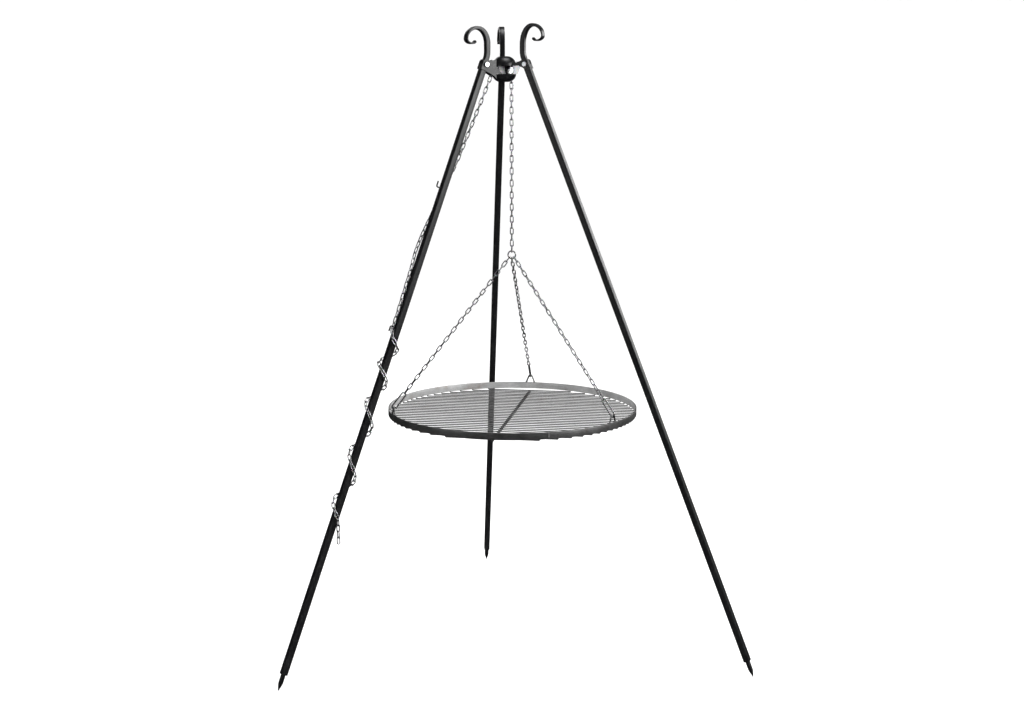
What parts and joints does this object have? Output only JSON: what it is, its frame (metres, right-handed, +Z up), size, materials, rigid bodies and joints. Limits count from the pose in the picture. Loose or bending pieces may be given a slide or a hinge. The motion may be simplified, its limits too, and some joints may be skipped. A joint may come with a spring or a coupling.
{
  "type": "campfire tripod grate",
  "caption": "Folding steel tripod with scrolled tops that hangs a round cooking grate over a campfire on a height-adjusting chain.",
  "frame": {"origin": "on the ground, in the middle of the tripod's footprint box; the tripod's own axis stands at X 0, Y -0.1906", "axes": "+Z up along the height; +Y towards the rear leg, away from the open front; +X to the right, seen from the front"},
  "size_m": [1.3222, 1.1476, 1.7945],
  "materials": {
    "black_steel": "satin black paint",
    "galvanised_steel": "bright zinc",
    "grate_steel": "plain mill steel"
  },
  "bodies": {
    "head": {"lower_cap": "black_steel", "upper_cap": "black_steel", "arm_rear_plate_1": "black_steel", "arm_rear_plate_2": "black_steel", "arm_rear_bridge": "black_steel", "arm_left_plate_1": "black_steel", "arm_left_plate_2": "black_steel", "arm_left_bridge": "black_steel", "arm_right_plate_1": "black_steel", "arm_right_plate_2": "black_steel", "arm_right_bridge": "black_steel", "roller_axle": "galvanised_steel", "roller_axle_nut": "galvanised_steel", "roller_collar": "black_steel", "roller_cheek_front": "galvanised_steel", "roller_cheek_rear": "galvanised_steel", "head_chain": "galvanised_steel", "hinge_bolts": "galvanised_steel", "hinge_nuts": "galvanised_steel"},
    "left_leg": {"leg_tube_left": "black_steel", "ground_spike_left": "black_steel", "scroll_left": "black_steel", "upper_chain_hook": "black_steel", "lower_chain_hook": "black_steel", "leg_chain": "galvanised_steel", "wound_chain": "galvanised_steel", "chain_tail": "galvanised_steel"},
    "rear_leg": {"leg_tube_rear": "black_steel", "ground_spike_rear": "black_steel", "scroll_rear": "black_steel"},
    "right_leg": {"leg_tube_right": "black_steel", "ground_spike_right": "black_steel", "scroll_right": "black_steel"},
    "roller": {"chain_roller": "galvanised_steel"},
    "first_link": {"swing_link_upper": "galvanised_steel"},
    "second_link": {"swing_link_lower": "galvanised_steel"},
    "drop_chain": {"hanging_chain": "galvanised_steel"},
    "hung_grate": {"junction_ring": "galvanised_steel", "branch_chain_rear": "galvanised_steel", "hanger_rear": "galvanised_steel", "staple_rear": "grate_steel", "branch_chain_left": "galvanised_steel", "hanger_left": "galvanised_steel", "staple_left": "grate_steel", "branch_chain_right": "galvanised_steel", "hanger_right": "galvanised_steel", "staple_right": "grate_steel", "grate_rim": "grate_steel", "grate_rods": "grate_steel", "grate_cross_bar": "grate_steel"}
  },
  "joints": [
    {"name": "left_leg_fold", "type": "hinge", "parent": "head", "child": "left_leg", "pos_m": [-0.05932, -0.22483, 1.69], "axis": [-0.5, 0.866, 0], "range_deg": [-2, 0]},
    {"name": "rear_leg_fold", "type": "hinge", "parent": "head", "child": "rear_leg", "pos_m": [0, -0.12208, 1.69], "axis": [1, 0, 0], "range_deg": [-3, 0]},
    {"name": "right_leg_fold", "type": "hinge", "parent": "head", "child": "right_leg", "pos_m": [0.05932, -0.22483, 1.69], "axis": [-0.5, -0.866, 0], "range_deg": [-3, 0]},
    {"name": "roller_turn", "type": "hinge", "parent": "head", "child": "roller", "pos_m": [0.01126, -0.18408, 1.6743], "axis": [0.5, -0.866, 0], "range_deg": [0, 480]},
    {"name": "swing_along_roller", "type": "hinge", "parent": "head", "child": "first_link", "pos_m": [0.02191, -0.17793, 1.673], "axis": [0.5, -0.866, 0], "range_deg": [-2, 2]},
    {"name": "swing_across_roller", "type": "hinge", "parent": "first_link", "child": "second_link", "pos_m": [0.02191, -0.17793, 1.6558], "axis": [0.866, 0.5, 0], "range_deg": [-2, 2]},
    {"name": "grate_turn", "type": "hinge", "parent": "second_link", "child": "drop_chain", "pos_m": [0.02191, -0.17793, 1.2], "axis": [0, 0, 1], "range_deg": [-30, 30]},
    {"name": "grate_height", "type": "slide", "parent": "drop_chain", "child": "hung_grate", "axis": [0, 0, 1], "range_m": [0, 0.08], "deforming": ["hanging_chain"]}
  ],
  "couplings": [
    {"joint": "roller_turn", "follows": "grate_height", "rad_per_m": 98}
  ]
}
